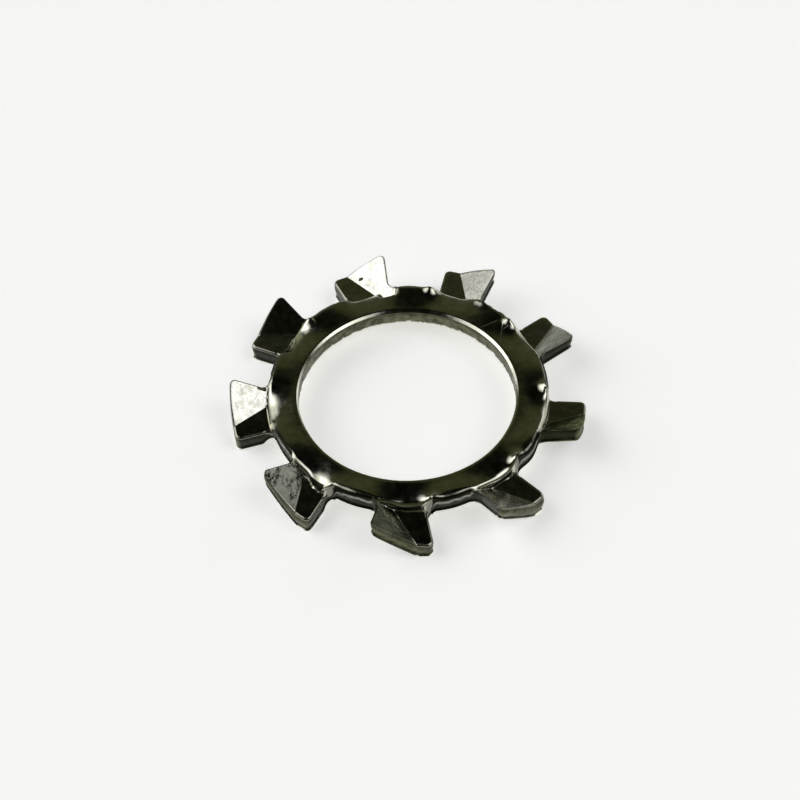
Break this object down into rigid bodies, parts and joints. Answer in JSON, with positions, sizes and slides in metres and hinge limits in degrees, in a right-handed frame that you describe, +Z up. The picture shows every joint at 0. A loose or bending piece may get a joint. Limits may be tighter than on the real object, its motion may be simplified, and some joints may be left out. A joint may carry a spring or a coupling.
{
  "type": "toothed lock washer",
  "caption": "External-tooth lock washer: a flat spring-steel ring with a clearance bore and a rim of creased, twisted teeth that bite the screw head and the seat.",
  "frame": {"origin": "on the axis of the bore, on the lower face of the flat ring", "axes": "+Z up along the axis of the bore; +X runs through the middle of the first tooth"},
  "size_m": [0.0172, 0.0175, 0.0022],
  "materials": {
    "plated_steel": "bright plated spring steel, polished, with faint mottling"
  },
  "bodies": {
    "root": {"lock_washer": "plated_steel"}
  },
  "joints": []
}
